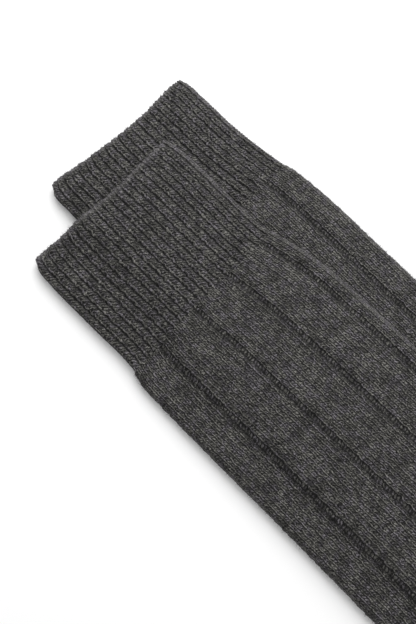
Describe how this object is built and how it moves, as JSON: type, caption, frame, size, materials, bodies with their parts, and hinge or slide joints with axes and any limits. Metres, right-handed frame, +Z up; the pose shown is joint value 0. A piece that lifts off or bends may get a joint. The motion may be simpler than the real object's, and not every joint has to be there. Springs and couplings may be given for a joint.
{
  "type": "pair of mid-calf socks",
  "caption": "Pair of charcoal marl socks laid flat and overlapping, with deep ribbed cuffs, legs in broad smooth panels, turned heels and rounded toes.",
  "frame": {"origin": "the middle of the pair's bounding box, on the table the socks lie on", "axes": "+Y up the legs towards the mouths, +X the way the toes point, +Z up from the table"},
  "size_m": [0.2714, 0.3328, 0.0125],
  "materials": {
    "charcoal_rib_knit": "soft 1x1 rib in a charcoal marl wool yarn, matt with a slight halo of fibres",
    "charcoal_plain_knit": "soft plain knit in a charcoal marl wool yarn, matt with a slight halo of fibres"
  },
  "bodies": {
    "root": {"under_sock_cuff": "charcoal_rib_knit", "under_sock_leg": "charcoal_plain_knit", "under_sock_foot": "charcoal_plain_knit", "under_sock_toe": "charcoal_plain_knit", "top_sock_cuff": "charcoal_rib_knit", "top_sock_leg": "charcoal_plain_knit", "top_sock_foot": "charcoal_plain_knit", "top_sock_toe": "charcoal_plain_knit"}
  },
  "joints": []
}
